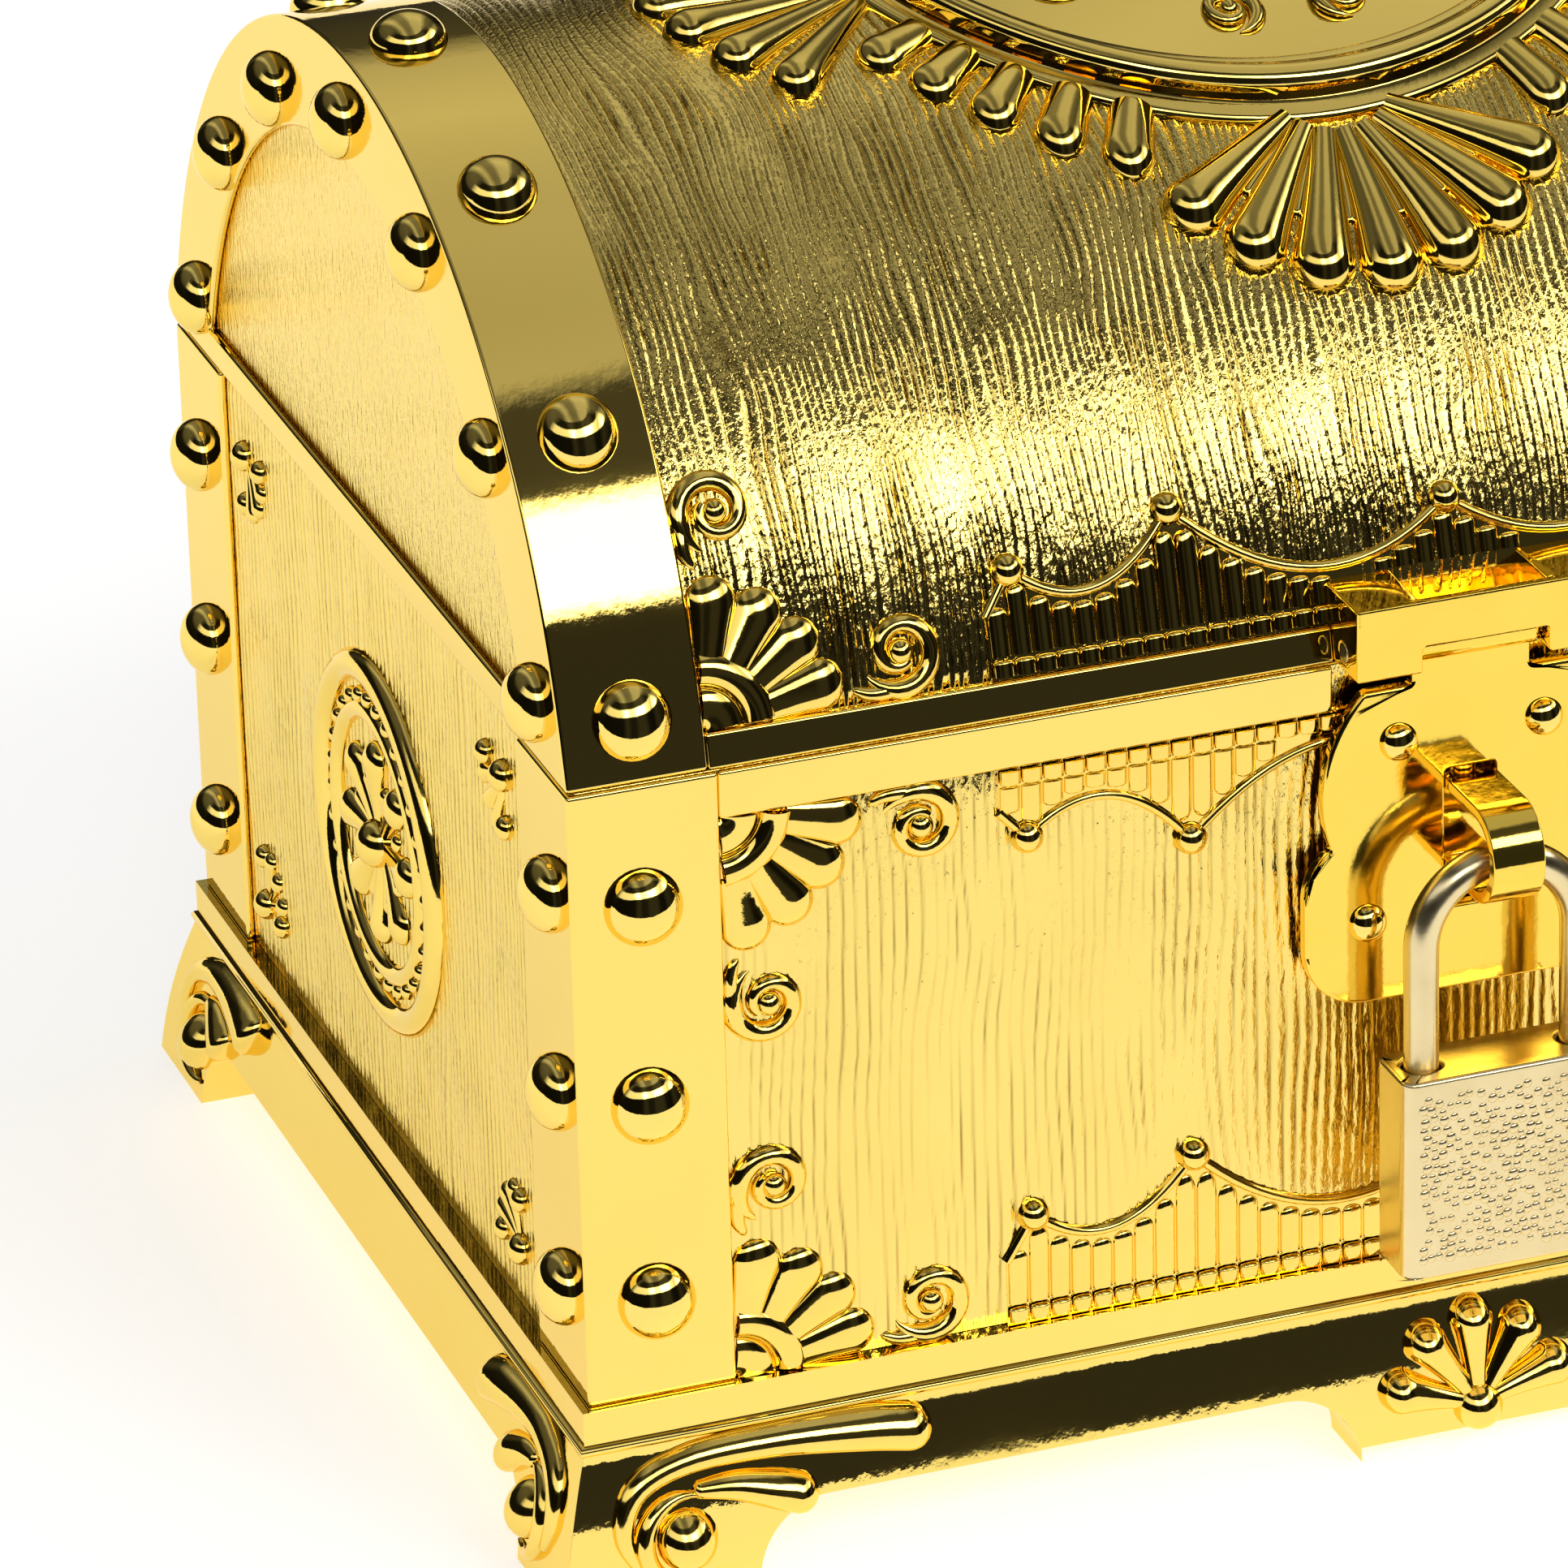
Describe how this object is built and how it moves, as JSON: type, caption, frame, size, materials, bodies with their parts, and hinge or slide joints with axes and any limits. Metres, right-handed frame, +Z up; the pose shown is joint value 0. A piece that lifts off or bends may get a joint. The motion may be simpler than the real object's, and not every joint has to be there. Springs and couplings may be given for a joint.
{
  "type": "treasure chest box",
  "caption": "Gilt treasure chest box with a hinged barrel lid, riveted straps, shell and fringe relief, bracket feet, and a hasp with a hanging padlock.",
  "frame": {"origin": "on the floor under the middle of the whole object's box, between the four feet", "axes": "+X along the chest towards its right end, +Y towards the hinges at the back, +Z up"},
  "size_m": [0.1512, 0.1146, 0.1092],
  "materials": {
    "wall_gold": "gold-plated moulding with a fine wood-grain relief",
    "trim_gold": "mirror-bright gold plating on smooth mouldings",
    "relief_gold": "bright gold plating on fluted relief",
    "rivet_gold": "mirror-bright gold plating on domes",
    "hasp_gold": "bright gold plating",
    "lock_metal": "pale champagne plating, pebbled on the case front",
    "plug_brass": "turned brass",
    "pin_steel": "plain drawn wire"
  },
  "bodies": {
    "chest": {"chest_box": "wall_gold", "base_frame": "trim_gold", "box_rivets": "rivet_gold", "front_fringe_lower": "relief_gold", "front_fringe_upper": "relief_gold", "apron_shell_front": "relief_gold", "apron_shell_back": "relief_gold", "foot_scrolls_front_left": "relief_gold", "corner_strap_front_left": "trim_gold", "foot_scrolls_front_right": "relief_gold", "corner_strap_front_right": "trim_gold", "foot_scrolls_back_left": "relief_gold", "corner_strap_back_left": "trim_gold", "foot_scrolls_back_right": "relief_gold", "corner_strap_back_right": "trim_gold", "front_rim_left": "trim_gold", "front_corner_lower_left": "relief_gold", "front_corner_upper_left": "relief_gold", "end_medallion_left": "relief_gold", "bead_sprays_left": "relief_gold", "hinge_box_leaf_left": "trim_gold", "hinge_pin_left": "pin_steel", "front_rim_right": "trim_gold", "front_corner_lower_right": "relief_gold", "front_corner_upper_right": "relief_gold", "end_medallion_right": "relief_gold", "bead_sprays_right": "relief_gold", "hinge_box_leaf_right": "trim_gold", "hinge_pin_right": "pin_steel"},
    "lid": {"lid_shell": "wall_gold", "lid_band_rivets": "rivet_gold", "lid_end_rivets": "rivet_gold", "lid_medallion": "trim_gold", "medallion_relief": "relief_gold", "crown_shell_front": "relief_gold", "crown_shell_back": "relief_gold", "crown_fans": "relief_gold", "lid_fringe": "relief_gold", "hasp_bracket": "hasp_gold", "hasp_pin": "pin_steel", "lid_band_left": "trim_gold", "lid_rim_left": "trim_gold", "crown_palmette_left": "relief_gold", "lid_corner_left": "relief_gold", "hinge_lid_leaf_left": "trim_gold", "lid_band_right": "trim_gold", "lid_rim_right": "trim_gold", "crown_palmette_right": "relief_gold", "lid_corner_right": "relief_gold", "hinge_lid_leaf_right": "trim_gold"},
    "hasp": {"hasp_plate": "hasp_gold", "hasp_rivets": "rivet_gold", "staple": "hasp_gold"},
    "padlock_shackle": {"padlock_shackle": "lock_metal"},
    "padlock_case": {"padlock_case": "lock_metal"},
    "padlock_plug": {"padlock_plug": "plug_brass"},
    "padlock_latch": {"padlock_latch": "lock_metal"}
  },
  "joints": [
    {"name": "lid_hinge", "type": "hinge", "parent": "chest", "child": "lid", "pos_m": [0, 0.0551, 0.06615], "axis": [-1, 0, 0], "range_deg": [0, 100]},
    {"name": "hasp_hinge", "type": "hinge", "parent": "lid", "child": "hasp", "pos_m": [0, -0.0481, 0.0678], "axis": [-1, 0, 0], "range_deg": [0, 90]},
    {"name": "padlock_swing", "type": "hinge", "parent": "hasp", "child": "padlock_shackle", "pos_m": [0, -0.0534, 0.0514], "axis": [-1, 0, 0], "range_deg": [-4, 90]},
    {"name": "shackle_release", "type": "slide", "parent": "padlock_shackle", "child": "padlock_case", "axis": [0, 0, -1], "range_m": [0, 0.0045]},
    {"name": "plug_turn", "type": "hinge", "parent": "padlock_case", "child": "padlock_plug", "pos_m": [0, -0.0534, 0.0188], "axis": [0, 0, 1], "range_deg": [0, 90]},
    {"name": "latch_slide", "type": "slide", "parent": "padlock_case", "child": "padlock_latch", "axis": [1, 0, 0], "range_m": [0, 0.0013]}
  ],
  "couplings": [
    {"joint": "plug_turn", "follows": "shackle_release", "rad_per_m": 349},
    {"joint": "latch_slide", "follows": "shackle_release", "ratio": 0.2888}
  ]
}
